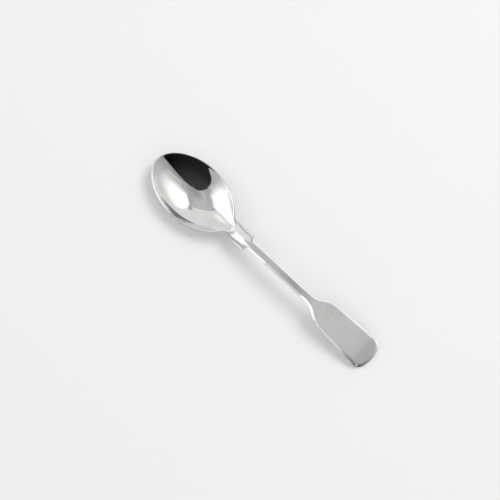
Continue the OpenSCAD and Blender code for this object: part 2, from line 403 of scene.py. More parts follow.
    def groove_run(self, s: Array) -> Array:
        """How far the grooves beside the neck have deepened."""
        return rise(s, self.shoulder_s, self.shoulder_l * self.groove_run_share)

    def ridge_fall(self, s: Array, y: Array) -> Array:
        """Fall from the crown to the rim, eased across the root of the neck."""
        return (self.crown(s) - self.rim(s)) * rise(np.abs(y), 0.0, self.shoulder_root_w / 2.0)

    def bevel(self, s: Array, y: Array) -> Array:
        """Fall of the bevels: a hinge on the distance from the outline, wide and soft at the neck.

        Args:
            s: distances from the tip.
            y: distances from the middle line.

        Returns:
            The falls below the crown.
        """
        run = rise(s, self.shoulder_s, self.shoulder_l * self.bevel_run_share)
        reach = mix(self.neck_w / 2.0 * self.neck_bevel_share, self.bevel_w, run)
        soft = mix(self.neck_crease_share, self.bevel_crease_share, run)
        return self.bevel_drop * hinge(1.0 - self.edge_distance(s, y) / reach, soft)

    def hollow(self, s: Array, y: Array) -> Array:
        """Height of the hollow: the cup's share of the way from the wall up to the rim."""
        return mix(self.bowl_wall, self.rim(np.minimum(s, self.shoulder_s)), self.cup(s, y, self.rim_land))

    def top_soft(self, s: Array, y: Array) -> Array:
        """Softness of the hollow's edge: tight along the rim, wide where it runs into the neck."""
        across = np.maximum(1.0 - (2.0 * y / self.shoulder_root_w) ** 2, 0.0) ** 2
        return mix(self.rim_soft, self.neck_soft, across * rise(s, self.rise_s, self.bowl_l - self.rise_s))

    def hollowed(self, s: Array, y: Array, fall: Array) -> Array:
        """The hollow or a surface that falls from the crown, whichever is lower."""
        fallen = self.crown(s) - mix(self.ridge_fall(s, y), fall, self.groove_run(s))
        return soft_min(self.hollow(s, y), fallen, self.top_soft(s, y))

    def top(self, s: Array, y: Array) -> Array:
        """Top of bowl, neck and handle: the hollow or the bevelled crown."""
        return self.hollowed(s, y, self.bevel(s, y))

    def shoulder_top(self, s: Array, y: Array) -> Array:
        """Top of a shoulder: a step below the crown, falling with the square of y from the neck."""
        out2 = (np.abs(y) - self.neck_half_w(s)) ** 2 * 2.0 / self.shoulder_w
        return self.hollowed(s, y, self.shoulder_drop + self.shoulder_round_share * out2)

    def arch(self, s: Array, y: Array, w: Array) -> Array:
        """Rise of the underside towards its edges: a share of the thickness times y over w squared."""
        return self.thickness(s) * (1.0 - self.edge_t_share) * (y / w) ** 2

    def bowl_back(self, s: Array, y: Array) -> Array:
        """Underside of the bowl: the cup's share of the rim's lower edge."""
        return (self.rim(s) - self.rim_edge) * self.cup(s, y, 0.0)

    def web(self, s: Array) -> Array:
        """Underside of the shoulders, which falls away towards the bowl."""
        return self.rim(s) - self.shoulder_t + self.web_slope_share * np.maximum(self.shoulder_s - s, 0.0)

    def heel(self, s: Array, y: Array) -> Array:
        """Underside of the neck's root: the crown less the thickness and a slope, arched to the edges."""
        slope = self.heel_slope_share * np.maximum(self.shoulder_s - s, 0.0)
        return self.crown(s) - self.thickness(s) - slope + self.arch(s, y, self.neck_half_w(s))

    def root_bottom(self, s: Array, y: Array) -> Array:
        """Underside at the root of the neck: the lowest of bowl, heel and web, softly joined."""
        carried = soft_min(self.heel(s, y), self.web(s), self.heel_soft / 2.0)
        return soft_min(self.bowl_back(s, y), carried, self.heel_soft)

    def bowl_bottom(self, s: Array, y: Array) -> Array:
        """Underside of the bowl, eased into the root of the neck."""
        run = rise(s, self.bowl_l * self.heel_start_share, self.bowl_l * self.heel_run_share)
        return mix(self.bowl_back(s, y), self.root_bottom(s, y), run)

    def handle_bottom(self, s: Array, y: Array) -> Array:
        """Underside of the handle: the crown less the thickness, arched to the edges."""
        return self.crown(s) - self.thickness(s) + self.arch(s, y, self.side_half_w(s))

    def neck_bottom(self, s: Array, y: Array) -> Array:
        """Underside of the neck, eased from its root into the handle."""
        along = rise(s, self.shoulder_s, self.shoulder_l)
        return mix(self.root_bottom(s, y), self.handle_bottom(s, y), along)

    def shoulder_bottom(self, s: Array, y: Array) -> Array:
        """Underside of a shoulder, eased from its root into a flat."""
        return mix(self.root_bottom(s, y), self.web(s), rise(s, self.shoulder_s, self.shoulder_l))


@dataclass
class Patch:
    """A grid of points in millimetres, with the surface's true normal at each.

    Attributes:
        points: rows by columns by 3 places.
        normals: rows by columns by 3 directions that point out of the metal.
        edge: rows by columns shares, 1 on the rounded edge and 0 away from it.
    """

    points: Array
    normals: Array
    edge: Array

    def mirrored(self) -> "Patch":
        """The same patch on the other side of the spoon."""
        flip = np.array([1.0, -1.0, 1.0])
        return Patch(self.points * flip, self.normals * flip, self.edge)

    def triangles(self) -> Array:
        """Two triangles for each cell, turned so that they face the way the normals do.

        Returns:
            Triangles by 3 numbers of points, counted row by row.
        """
        rows, cols = self.edge.shape
        index = np.arange(rows * cols).reshape(rows, cols)
        a, b, c, d = index[:-1, :-1], index[1:, :-1], index[1:, 1:], index[:-1, 1:]
        tris = np.concatenate([np.stack(corners, -1).reshape(-1, 3) for corners in ((a, b, c), (a, c, d))])
        first, second, third = (self.points.reshape(-1, 3)[corner] for corner in tris.T)
        facing = np.cross(second - first, third - first)
        turned = (facing * self.normals.reshape(-1, 3)[tris].mean(axis=1)).sum() < 0.0
        return tris[:, ::-1] if turned else tris


@dataclass
class Skin:
    """The patches that together close one piece of the spoon.

    Attributes:
        name: the piece's name.
        patches: its patches.
        weld: distance in millimetres within which points are one.
    """

    name: str
    patches: list[Patch]
    weld: float = 2e-5

    def build(self) -> bpy.types.Object:
        """Welds the patches and makes them a Blender object with the patches' own normals.

        Returns:
            The object, at the origin and unturned, with its place in its mesh.
        """
        points = np.concatenate([p.points.reshape(-1, 3) for p in self.patches])
        normals = np.concatenate([p.normals.reshape(-1, 3) for p in self.patches])
        edge = np.concatenate([p.edge.reshape(-1) for p in self.patches])
        starts = np.cumsum([0] + [p.edge.size for p in self.patches[:-1]])
        tris = np.concatenate([p.triangles() + start for p, start in zip(self.patches, starts)])
        keys = np.rint(points / self.weld).astype(np.int64)
        _, first, welded = np.unique(keys, axis=0, return_index=True, return_inverse=True)
        faces = welded.reshape(-1)[tris]
        a, b, c = faces.T
        kept = (a != b) & (b != c) & (c != a)
        mesh = bpy.data.meshes.new(self.name)
        mesh.from_pydata((points[first] * MM).tolist(), [], faces[kept].tolist())
        mesh.polygons.foreach_set("use_smooth", np.ones(int(kept.sum()), dtype=bool))
        share = mesh.attributes.new(EDGE_ATTRIBUTE, "FLOAT", "POINT")
        share.data.foreach_set("value", edge[first].astype(np.float32))
        mesh.update()
        mesh.normals_split_custom_set(normals[tris[kept].reshape(-1)].tolist())
        return linked(self.name, mesh)


@dataclass
class Region:
    """A length of the spoon between its outline and its middle line, closed by patches.

    Rows run along the outline by t. In each row the columns run inwards: first a band that
    keeps its distance from the outline, then straight to the inner line.

    Attributes:
        form: the spoon's formulas.
        near_s: place of the rounded end or first cut.
        far_s: place of the other cut.
        half_w: half-width of the outline, by s.
        top: height of the top, by s and y.
        bottom: height of the underside.
        turn: whether the rows start at a rounded end.
        nose_r: how far the rounded edge reaches in from the outline.
        row_step: longest step between rows.
        row_turn: largest turn of the outline between rows, in degrees.
        band_w: depth of the band.
        band_room: largest share of the way to the inner line that the band takes.
        band_steps: cells across the band.
        inner_steps: cells between the band and the inner line.
        nose_steps: cells round the edge, an even number.
        cut_run: how far from a cut the rows turn square to the spoon.
        row_samples: places at which the outline is measured for its rows.
        fan_s: place beyond which the rows fan out over the middle line, towards a rounded end.
        fan_share: share of the outline's step that the inner line takes there.
        probe: step of t and of angle for the outline's slopes.
        slope_probe: step in millimetres for the heights' slopes.
    """

    form: SpoonForm
    near_s: float
    far_s: float
    half_w: Callable[[Array], Array]
    top: Height
    bottom: Height
    turn: Turn = Turn.CUT
    nose_r: float = 0.22
    row_step: float = 0.5
    row_turn: float = 1.6
    band_w: float = 1.7
    band_room: float = 0.6
    band_steps: int = 12
    inner_steps: int = 12
    nose_steps: int = 14
    cut_run: float = 3.0
    row_samples: int = 3001
    fan_s: float = 0.0
    fan_share: float = 1.0
    probe: float = 1e-4
    slope_probe: float = 1e-3

    def inner_y(self, s: Array) -> Array:
        """Inner line that the rows run to: the spoon's middle line."""
        return np.zeros_like(s)

    def inner_s(self, outline: Array) -> Array:
        """Place along the inner line that the row from each place of the outline runs to."""
        past = outline[:, 0] - self.fan_s
        return self.fan_s + past * np.where(past * (self.near_s - self.fan_s) > 0.0, self.fan_share, 1.0)

    def nose(self, s: Array) -> Array:
        """How far the rounded edge reaches in from the outline."""
        return np.full_like(s, self.nose_r)

    def place(self, t: Array) -> Array:
        """Outline by t: its s grows with t squared from a rounded end, and evenly from a cut.

        Args:
            t: 0 at the first end and 1 at the other, and a little beyond for slopes.

        Returns:
            The s and y of each place, as the last axis.
        """
        if self.turn is Turn.CUT:
            s = mix(self.near_s, self.far_s, t)
            return np.stack([s, self.half_w(s)], -1)
        s = self.near_s + (self.far_s - self.near_s) * t * t
        base = self.inner_y(s)
        return np.stack([s, base + (self.half_w(s) - base) * np.where(t < 0.0, -1.0, 1.0)], -1)

    def outward(self, t: Array) -> Array:
        """Direction out of the outline, square to it, and straight across at a cut.

        Args:
            t: places along the outline.

        Returns:
            The directions in s and y, as the last axis.
        """
        along = self.place(t + self.probe) - self.place(t - self.probe)
        normal = np.stack([-along[..., 1], along[..., 0]], -1)
        normal = unit(normal) * math.copysign(1.0, self.far_s - self.near_s)
        s = self.place(t)[..., 0]
        cuts = (self.far_s, self.near_s) if self.turn is Turn.CUT else (self.far_s,)
        near = np.max([1.0 - ease(np.abs(s - cut) / self.cut_run) for cut in cuts], axis=0)
        return unit(mix(normal, np.array([0.0, 1.0]), near[..., None]))

    def rows(self) -> Array:
        """Places of the rows, closer together where the outline turns.

        Returns:
            The t of each row, which share out the sum of steps and turns evenly.
        """
        t = np.linspace(0.0, 1.0, self.row_samples)
        run = np.diff(self.place(t), axis=0)
        angle = np.unwrap(np.arctan2(run[:, 1], run[:, 0]))
        turning = np.abs(np.diff(angle, append=angle[-1])) / math.radians(self.row_turn)
        load = np.append(0.0, np.cumsum(np.linalg.norm(run, axis=1) / self.row_step + turning))
        count = int(math.ceil(load[-1]))
        return np.interp(np.linspace(0.0, load[-1], count + 1), load, t)

    def slopes(self, height: Height, s: Array, y: Array) -> tuple[Array, Array]:
        """Slopes of a height along s and across, by central differences.

        Args:
            height: the height as a function of s and y.
            s: places along the spoon.
            y: places across it.

        Returns:
            The slope along s and the slope along y.
        """
        e = self.slope_probe
        along = (height(s + e, y) - height(s - e, y)) / (2.0 * e)
        return along, (height(s, y + e) - height(s, y - e)) / (2.0 * e)

    def sheet(self, height: Height, plan: Array, up: float, edge: Array) -> Patch:
        """A patch of the top or the underside over a grid of the plan.

        Args:
            height: the height as a function of s and y.
            plan: rows by columns by 2 places.
            up: 1 for the top, -1 for the underside.
            edge: edge share of each place.

        Returns:
            The patch, whose normal is the slopes reversed and 1 upwards, turned by up.
        """
        s, y = plan[..., 0], plan[..., 1]
        along, across = self.slopes(height, s, y)
        normals = unit(np.stack([-along, -across, np.ones_like(s)], -1)) * up
        return Patch(np.stack([s - self.form.spoon_l / 2.0, y, height(s, y)], -1), normals, edge)

    def nose_points(self, t: Array, angle: Array) -> Array:
        """The rounded edge: a half ellipse out from the nose line, sheared to both slopes.

        Args:
            t: places along the outline.
            angle: a quarter turn at the top, 0 at the outline, minus a quarter turn below.

        Returns:
            The points, by t along the rows and angle along the columns.
        """
        t, angle = np.broadcast_arrays(t[:, None], angle)
        outline, outward = self.place(t), self.outward(t)
        reach = self.nose(outline[..., 0])
        root = outline - reach[..., None] * outward
        s, y = root[..., 0], root[..., 1]
        top_slope, low_slope = (
            (np.stack(self.slopes(height, s, y), -1) * outward).sum(-1) for height in (self.top, self.bottom)
        )
        up, out = (1.0 + np.sin(angle)) / 2.0, reach * np.cos(angle)
        z = mix(self.bottom(s, y), self.top(s, y), up) + out * mix(low_slope, top_slope, up)
        plan = root + out[..., None] * outward
        return np.stack([plan[..., 0] - self.form.spoon_l / 2.0, plan[..., 1], z], -1)

    def nose_patch(self, t: Array) -> Patch:
        """The rounded edge with normals square to its two families of lines.

        Args:
            t: places of the rows along the outline.

        Returns:
            The patch, from the top down.
        """
        quarter = math.pi / 2.0
        angle = np.linspace(quarter, -quarter, self.nose_steps + 1)
        h = self.probe
        points = self.nose_points(t, angle)
        along = self.nose_points(t + h, angle) - self.nose_points(t - h, angle)
        around = self.nose_points(t, angle + h) - self.nose_points(t, angle - h)
        normals = unit(np.cross(along, around))
        inside = points.mean(axis=1, keepdims=True)
        normals *= np.sign(((points - inside) * normals).sum(-1).sum(-1))[:, None, None]
        return Patch(points, normals, np.ones(points.shape[:2]))

    def band_shares(self, nose: Array, depth: Array) -> Array:
        """Share of the band's depth at each of its columns, evenly spaced.

        Args:
            nose: reach of the rounded edge in each row; not used here.
            depth: depth of the band in each row.

        Returns:
            Rows by columns of shares from 0 to 1.
        """
        return np.tile(np.linspace(0.0, 1.0, self.band_steps + 1), (len(depth), 1))

    def plan_grid(self, t: Array) -> Array:
        """Grid of the plan from the nose line inwards.

        Args:
            t: places along the outline.

        Returns:
            Rows by columns by 2 places: a band at set distances, then straight to the inner line.
        """
        outline, outward = self.place(t), self.outward(t)
        nose = self.nose(outline[:, 0])
        root = outline - nose[:, None] * outward
        s = self.inner_s(outline)
        inner = np.stack([s, self.inner_y(s)], -1)
        depth = np.minimum(self.band_w, np.linalg.norm(root - inner, axis=1) * self.band_room)
        reach = depth[:, None] * self.band_shares(nose, depth)
        near = root[:, None] - outward[:, None] * reach[..., None]
        share = np.linspace(0.0, 1.0, self.inner_steps + 1)[1:, None]
        return np.concatenate([near, mix(near[:, -1:], inner[:, None], share)], axis=1)

    def wall(self, top: Array, bottom: Array, nose: Array, facing: tuple[float, float, float]) -> Patch:
        """A flat wall between a line of the top and the line of the underside below it.

        Args:
            top: points of the top, up to the rounded edge.
            bottom: the points below them.
            nose: points of the rounded edge at the wall, from the top down.
            facing: the wall's normal.

        Returns:
            A patch of two rows of points, which meet at the tip of the rounded edge.
        """
        half = self.nose_steps // 2 + 1
        upper = np.concatenate([top, nose[1:half]])
        lower = np.concatenate([bottom, nose[-2 : half - 2 : -1]])
        points = np.stack([upper, lower])
        normals = np.tile(facing, (*points.shape[:2], 1))
        return Patch(points, normals, np.zeros(points.shape[:2]))

    def patches(self) -> list[Patch]:
        """One side of the region.

        Returns:
            The top, the underside, the rounded edge, and a wall at each cut.
        """
        t = self.rows()
        plan = self.plan_grid(t)
        edge = np.zeros(plan.shape[:2])
        reach = np.linalg.norm(plan[:, : self.band_steps + 1] - plan[:, :1], axis=-1)
        edge[:, : self.band_steps + 1] = 1.0 - reach / reach[:, -1:]
        top, bottom = self.sheet(self.top, plan, 1.0, edge), self.sheet(self.bottom, plan, -1.0, edge)
        nose = self.nose_patch(t)
        along = math.copysign(1.0, self.far_s - self.near_s)
        cuts = ((-1, along), (0, -along)) if self.turn is Turn.CUT else ((-1, along),)
        return [top, bottom, nose] + [
            self.wall(top.points[row, ::-1], bottom.points[row, ::-1], nose.points[row], (x, 0.0, 0.0))
            for row, x in cuts
        ]

    def both_sides(self) -> list[Patch]:
        """The patches of the left side and their mirror images."""
        left = self.patches()
        return left + [p.mirrored() for p in left]


@dataclass
class CreasedRegion(Region):
    """A length of handle, whose columns crowd on the bevel's crease.

    Attributes:
        outer_steps: cells between the rounded edge and the crease.
        crease_steps: cells at the crease.
        crease_zone: how far they reach on each side of it.
    """

    band_steps: int = 20
    outer_steps: int = 8
    crease_steps: int = 9
    crease_zone: float = 0.12

    def band_shares(self, nose: Array, depth: Array) -> Array:
        """Share of the band's depth at each column: even, close together at the crease, even again.

        Args:
            nose: reach of the rounded edge in each row.
            depth: depth of the band in each row.

        Returns:
            Rows by columns of shares from 0 to 1.
        """
        crease = (self.form.bevel_w - nose[:, None]) / depth[:, None]
        zone = self.crease_zone / depth[:, None]
        column = np.arange(self.band_steps + 1.0)
        after = self.outer_steps + self.crease_steps
        first = np.clip(column / self.outer_steps, 0.0, 1.0)
        close = np.clip((column - self.outer_steps) / self.crease_steps, 0.0, 1.0)
        last = np.clip((column - after) / (self.band_steps - after), 0.0, 1.0)
        return (crease - zone) * first + 2.0 * zone * close + (1.0 - crease - zone) * last


@dataclass
class NeckRegion(CreasedRegion):
    """The raised neck; its rounded edge grows with the grooves beside it."""

    least_nose: float = 0.02

    def nose(self, s: Array) -> Array:
        """The rounded edge's reach, scaled by the depth of the grooves."""
        return np.maximum(self.nose_r * self.form.groove_run(s), self.least_nose)


@dataclass
class ShoulderRegion(Region):
    """A low square-ended wing, whose inner line is the side of the neck."""

    def inner_y(self, s: Array) -> Array:
        """The side of the neck."""
        return self.form.neck_half_w(s)

    def inner_s(self, outline: Array) -> Array:
        """Rows meet the neck at places spread by their length of outline.

        Args:
            outline: rows by 2 places.

        Returns:
            The place along the neck's side for each row.
        """
        run = np.append(0.0, np.cumsum(np.linalg.norm(np.diff(outline, axis=0), axis=1)))
        end_s = self.near_s - self.nose_r
        return mix(end_s, self.far_s, run / run[-1])

    def patches(self) -> list[Patch]:
        """The usual patches, and the wall against the neck.

        Returns:
            The patches of the left shoulder.
        """
        made = super().patches()
        top, bottom, nose = (patch.points for patch in made[:3])
        return made + [self.wall(top[::-1, -1], bottom[::-1, -1], nose[0], (0.0, -1.0, 0.0))]


@dataclass
class NodeSheet:
    """A node tree with short calls for adding nodes and joining them."""

    tree: bpy.types.NodeTree

    @classmethod
    def cleared(cls, owner: bpy.types.Material | bpy.types.World) -> "NodeSheet":
        """The sheet of a new material or world.

        Args:
            owner: the material or world.

        Returns:
            Its sheet, with no nodes on it.
        """
        owner.use_nodes = True
        owner.node_tree.nodes.clear()
        return cls(owner.node_tree)

    def feed(self, target: Socket, value: object) -> None:
        """Joins an output to an input, or sets the input to a plain value.

        Args:
            target: the input.
            value: an output's socket, or the value.
        """
        if isinstance(value, bpy.types.NodeSocket):
            self.tree.links.new(value, target)
        else:
            target.default_value = value

    def add(self, kind: str, **settings: object) -> bpy.types.Node:
        """Adds a node and sets its properties, or its inputs where it has no such property.

        Args:
            kind: the node's Blender type.
            settings: values by property name, or values and sockets by input name with spaces
                as underscores.

        Returns:
            The node.
        """
        node = self.tree.nodes.new(kind)
        for key, value in settings.items():
            if hasattr(node, key):
                setattr(node, key, value)
            else:
                self.feed(node.inputs[key.replace("_", " ")], value)
        return node

    def maths(self, operation: str, *values: Socket | float, clamp: bool = False) -> Socket:
        """Adds a Math node on sockets or numbers.

        Args:
            operation: the sum to do.
            values: what it is done with.
            clamp: whether the result is held between 0 and 1.

        Returns:
            The result.
        """
        node = self.add("ShaderNodeMath", operation=operation, use_clamp=clamp)
        for target, value in zip(node.inputs, values):
            self.feed(target, value)
        return node.outputs[0]

    def remap(self, value: Socket, low: float, high: float) -> Socket:
        """Smooth step of a value from 0 at low to 1 at high."""
        kind, step = "ShaderNodeMapRange", "SMOOTHSTEP"
        return self.add(kind, interpolation_type=step, Value=value, From_Min=low, From_Max=high).outputs[0]

    def noise(self, vector: Socket, scale: Socket | float, detail: float) -> Socket:
        """Noise of a vector, from 0 to 1, with so many octaves."""
        return self.add("ShaderNodeTexNoise", Vector=vector, Scale=scale, Detail=detail).outputs["Fac"]

    def tinted(self, base: Socket | Colour, tint: Colour, mask: Socket) -> Socket:
        """A colour that turns to a tint by a mask.

        Args:
            base: the colour where the mask is 0.
            tint: the colour where it is 1.
            mask: how far it turns.

        Returns:
            The mixed colour.
        """
        node = self.add("ShaderNodeMix", data_type="RGBA")
        for index, value in ((MIX_FACTOR, mask), (MIX_FIRST, base), (MIX_SECOND, tint)):
            self.feed(node.inputs[index], value)
        return node.outputs[MIX_RESULT]

    def surface(self, **values: Socket | Colour | float) -> None:
        """Ends a material with a Principled shader of its own values."""
        shader = self.add("ShaderNodeBsdfPrincipled", **values)
        self.add("ShaderNodeOutputMaterial", Surface=shader.outputs["BSDF"])


@dataclass(frozen=True)
class MaskGroup(ABC):
    """A node group that gives a mask over the surface, scaled by its Amount.

    A _scale and a _detail are a noise's, and a _range is its values that are bare and full.

    Attributes:
        name: the group's name.
        inputs: its number inputs and their values at first.
    """

    name: str
    inputs: tuple[tuple[str, float], ...]

    @abstractmethod
    def pattern(self, sheet: NodeSheet, given: bpy.types.NodeOutputs) -> Socket:
        """The mask at its full amount.

        Args:
            sheet: the group's sheet.
            given: the group's inputs.

        Returns:
            The mask, from 0 to 1.
        """

    def build(self) -> bpy.types.NodeTree:
        """Builds the group.

        Returns:
            Its tree: the pattern times Amount, held between 0 and 1.
        """
        group = bpy.data.node_groups.new(self.name, "ShaderNodeTree")
        group.interface.new_socket(name="Vector", in_out="INPUT", socket_type="NodeSocketVector")
        for label, value in self.inputs:
            made = group.interface.new_socket(name=label, in_out="INPUT", socket_type="NodeSocketFloat")
            made.default_value = value
        group.interface.new_socket(name="Mask", in_out="OUTPUT", socket_type="NodeSocketFloat")
        sheet = NodeSheet(group)
        given = sheet.add("NodeGroupInput").outputs
        mask = sheet.maths("MULTIPLY", self.pattern(sheet, given), given["Amount"], clamp=True)
        sheet.add("NodeGroupOutput", Mask=mask)
        return group

    def placed(self, sheet: NodeSheet, **values: Socket | float) -> Socket:
        """The mask of the group, placed in a material with its own values."""
        return sheet.add("ShaderNodeGroup", node_tree=self.build(), **values).outputs["Mask"]


@dataclass(frozen=True)
class WipingMarks(MaskGroup):
    """Hairlines left by polishing and wiping, in patches and in two directions by degrees."""

    name: str = "wiping_marks"
    inputs: tuple[tuple[str, float], ...] = (("Fineness", 2600.0), ("Amount", 0.5))
    turns: tuple[float, float] = (7.0, -38.0)
    stretch: tuple[float, float, float] = (0.06, 1.0, 1.0)
    line_detail: float = 3.0
    line_range: tuple[float, float] = (0.62, 0.72)
    patch_scale: float = 70.0
    patch_range: tuple[float, float] = (0.42, 0.62)

    def pattern(self, sheet: NodeSheet, given: bpy.types.NodeOutputs) -> Socket:
        """The crests of a noise that is stretched along each direction.

        Args:
            sheet: the group's sheet.
            given: the group's inputs.

        Returns:
            The mask.
        """
        lines, vector = [], given["Vector"]
        for turn in self.turns:
            turned = (0.0, 0.0, math.radians(turn))
            along = sheet.add("ShaderNodeMapping", Vector=vector, Rotation=turned, Scale=self.stretch)
            crest = sheet.noise(along.outputs["Vector"], given["Fineness"], self.line_detail)
            patch = sheet.noise(vector, self.patch_scale + turn, 1.0)
            line = sheet.remap(crest, *self.line_range)
            lines.append(sheet.maths("MULTIPLY", line, sheet.remap(patch, *self.patch_range)))
        return sheet.maths("MAXIMUM", *lines)


@dataclass(frozen=True)
class HandlingFilm(MaskGroup):
    """Broad soft haze left by wiping, of which a faster noise takes a share away."""

    name: str = "handling_film"
    inputs: tuple[tuple[str, float], ...] = (("Size", 90.0), ("Amount", 1.0))
    slow_detail: float = 2.0
    slow_range: tuple[float, float] = (0.4, 0.7)
    fast_scale: float = 900.0
    fast_detail: float = 3.0
    fast_range: tuple[float, float] = (0.3, 0.7)
    fast_share: float = 0.5

    def pattern(self, sheet: NodeSheet, given: bpy.types.NodeOutputs) -> Socket:
        """A slow noise, broken by a faster one.

        Args:
            sheet: the group's sheet.
            given: the group's inputs.

        Returns:
            The mask.
        """
        slow = sheet.noise(given["Vector"], given["Size"], self.slow_detail)
        fast = sheet.noise(given["Vector"], self.fast_scale, self.fast_detail)
        fast = sheet.remap(fast, *self.fast_range)
        broken = sheet.maths("MULTIPLY_ADD", fast, self.fast_share, 1.0 - self.fast_share)
        return sheet.maths("MULTIPLY", sheet.remap(slow, *self.slow_range), broken)


@dataclass(frozen=True)
class EdgeWear(MaskGroup):
    """Burnished edges, broken up by noise."""

    name: str = "edge_wear"
    inputs: tuple[tuple[str, float], ...] = (("Edge", 0.0), ("Sharpness", 6.0), ("Amount", 1.0))
    worn_scale: float = 350.0
    worn_detail: float = 3.0
    worn_range: tuple[float, float] = (0.3, 0.65)

    def pattern(self, sheet: NodeSheet, given: bpy.types.NodeOutputs) -> Socket:
        """The edge's share to a power, times a noise.

        Args:
            sheet: the group's sheet.
            given: the group's inputs.

        Returns:
            The mask.
        """
        near = sheet.maths("POWER", given["Edge"], given["Sharpness"])
        worn = sheet.noise(given["Vector"], self.worn_scale, self.worn_detail)
        return sheet.maths("MULTIPLY", near, sheet.remap(worn, *self.worn_range))


@dataclass(frozen=True)
class FineDust(MaskGroup):
    """Sparse specks of dust, whose range is distances from a speck's middle."""

    name: str = "fine_dust"
    inputs: tuple[tuple[str, float], ...] = (("Density", 1400.0), ("Amount", 1.0))
    speck_range: tuple[float, float] = (0.12, 0.05)
    sparse_scale: float = 400.0
    sparse_range: tuple[float, float] = (0.62, 0.7)

    def pattern(self, sheet: NodeSheet, given: bpy.types.NodeOutputs) -> Socket:
        """Small discs round the points of a Voronoi pattern, kept where a noise is high.

        Args:
            sheet: the group's sheet.
            given: the group's inputs.

        Returns:
            The mask.
        """
        cells = sheet.add("ShaderNodeTexVoronoi", Vector=given["Vector"], Scale=given["Density"])
        disc = sheet.remap(cells.outputs["Distance"], *self.speck_range)
        sparse = sheet.remap(sheet.noise(given["Vector"], self.sparse_scale, 1.0), *self.sparse_range)
        return sheet.maths("MULTIPLY", disc, sparse)


@dataclass(frozen=True)
class PolishedSteel:
    """Stainless steel, buffed to a mirror in the bowl and a little softer along the handle.

    Attributes:
        soft_from: X in metres up to which the steel is a mirror.
        soft_to: X from which it has the handle's roughness.
        marks_depth: depth of the wiping marks as a share of the ripple's height.
    """

    name: str = "polished_stainless"
    colour: Colour = (0.80, 0.798, 0.792, 1.0)
    film_colour: Colour = (0.72, 0.71, 0.70, 1.0)
    edge_colour: Colour = (0.86, 0.855, 0.845, 1.0)
    mirror_rough: float = 0.035
    handle_rough: float = 0.11
    soft_from: float = -0.03
    soft_to: float = 0.035
    film_rough: float = 0.05
    marks_rough: float = 0.12
    dust_rough: float = 0.35
    ripple_size: float = 180.0
    ripple_height: float = 1.2e-6
    marks_depth: float = 0.15
    marks_fineness: float = 2600.0
    marks_amount: float = 0.7
    film_size: float = 85.0
    film_amount: float = 1.0
    dust_density: float = 1300.0
    dust_amount: float = 0.6
    wear_sharpness: float = 8.0
    wear_amount: float = 0.9

    def build(self) -> bpy.types.Material:
        """Builds the material.

        Returns:
            A Principled material whose colour, roughness and normal vary with the masks.
        """
        material = bpy.data.materials.new(self.name)
        sheet = NodeSheet.cleared(material)
        place = sheet.add("ShaderNodeTexCoord").outputs["Object"]
        edge = sheet.add("ShaderNodeAttribute", attribute_name=EDGE_ATTRIBUTE).outputs["Fac"]
        marks = WipingMarks().placed(
            sheet, Vector=place, Fineness=self.marks_fineness, Amount=self.marks_amount
        )
        film = HandlingFilm().placed(sheet, Vector=place, Size=self.film_size, Amount=self.film_amount)
        dust = FineDust().placed(sheet, Vector=place, Density=self.dust_density, Amount=self.dust_amount)
        wear = EdgeWear().placed(
            sheet, Vector=place, Edge=edge, Sharpness=self.wear_sharpness, Amount=self.wear_amount
        )
        along = sheet.add("ShaderNodeSeparateXYZ", Vector=place).outputs["X"]
        soft = sheet.remap(along, self.soft_from, self.soft_to)
        rough = sheet.maths("MULTIPLY_ADD", soft, self.handle_rough - self.mirror_rough, self.mirror_rough)
        for mask, share in ((film, self.film_rough), (marks, self.marks_rough), (dust, self.dust_rough)):
            rough = sheet.maths("ADD", rough, sheet.maths("MULTIPLY", mask, share), clamp=True)
        colour = sheet.tinted(sheet.tinted(self.colour, self.film_colour, film), self.edge_colour, wear)
        ripple = sheet.noise(place, self.ripple_size, 1.0)
        height = sheet.maths("SUBTRACT", ripple, sheet.maths("MULTIPLY", marks, self.marks_depth))
        bump = sheet.add("ShaderNodeBump", Strength=1.0, Distance=self.ripple_height, Height=height)
        sheet.surface(Metallic=1.0, Base_Color=colour, Roughness=rough, Normal=bump.outputs["Normal"])
        return material


@dataclass
class SpoonPart(ABC):
    """What every part of the spoon shares: the form, the steel and the reach of its edges.

    Attributes:
        form: the spoon's formulas.
        steel: its material.
        edge_r: reach of the rounded edge of neck and handle, in millimetres.
        rim_r: reach of the rounded rim of bowl and shoulders.
    """

    form: SpoonForm
    steel: bpy.types.Material
    edge_r: float = 0.22
    rim_r: float = 0.3

    @abstractmethod
    def build(self) -> list[bpy.types.Object]:
        """Builds the part's pieces and dresses them."""

    def dress(self, name: str, patches: list[Patch], node: str) -> bpy.types.Object:
        """Builds a skin, gives it the steel, and puts it on the frame in the node's place.

        Args:
            name: the piece's name.
            patches: the patches that close it.
            node: the CAD node that it stands for.

        Returns:
            The piece.
        """
        piece = Skin(name, patches).build()
        piece.data.materials.append(self.steel)
        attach(piece, BODY)
        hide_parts(node)
        return piece


@dataclass
class Bowl(SpoonPart):
    """The egg-shaped bowl with its rim and its back; its rows fan out at the tip."""

    def build(self) -> list[bpy.types.Object]:
        """Builds the bowl from its tip to the shoulders.

        Returns:
            The piece, in a list.
        """
        form = self.form
        region = Region(
            form, 0.0, form.shoulder_s, form.bowl_half_w, form.top, form.bowl_bottom,
            turn=Turn.ROUNDED, nose_r=self.rim_r, inner_steps=44, fan_s=21.0, fan_share=0.4,
        )
        return [self.dress("polished_bowl", region.both_sides(), "bowl")]


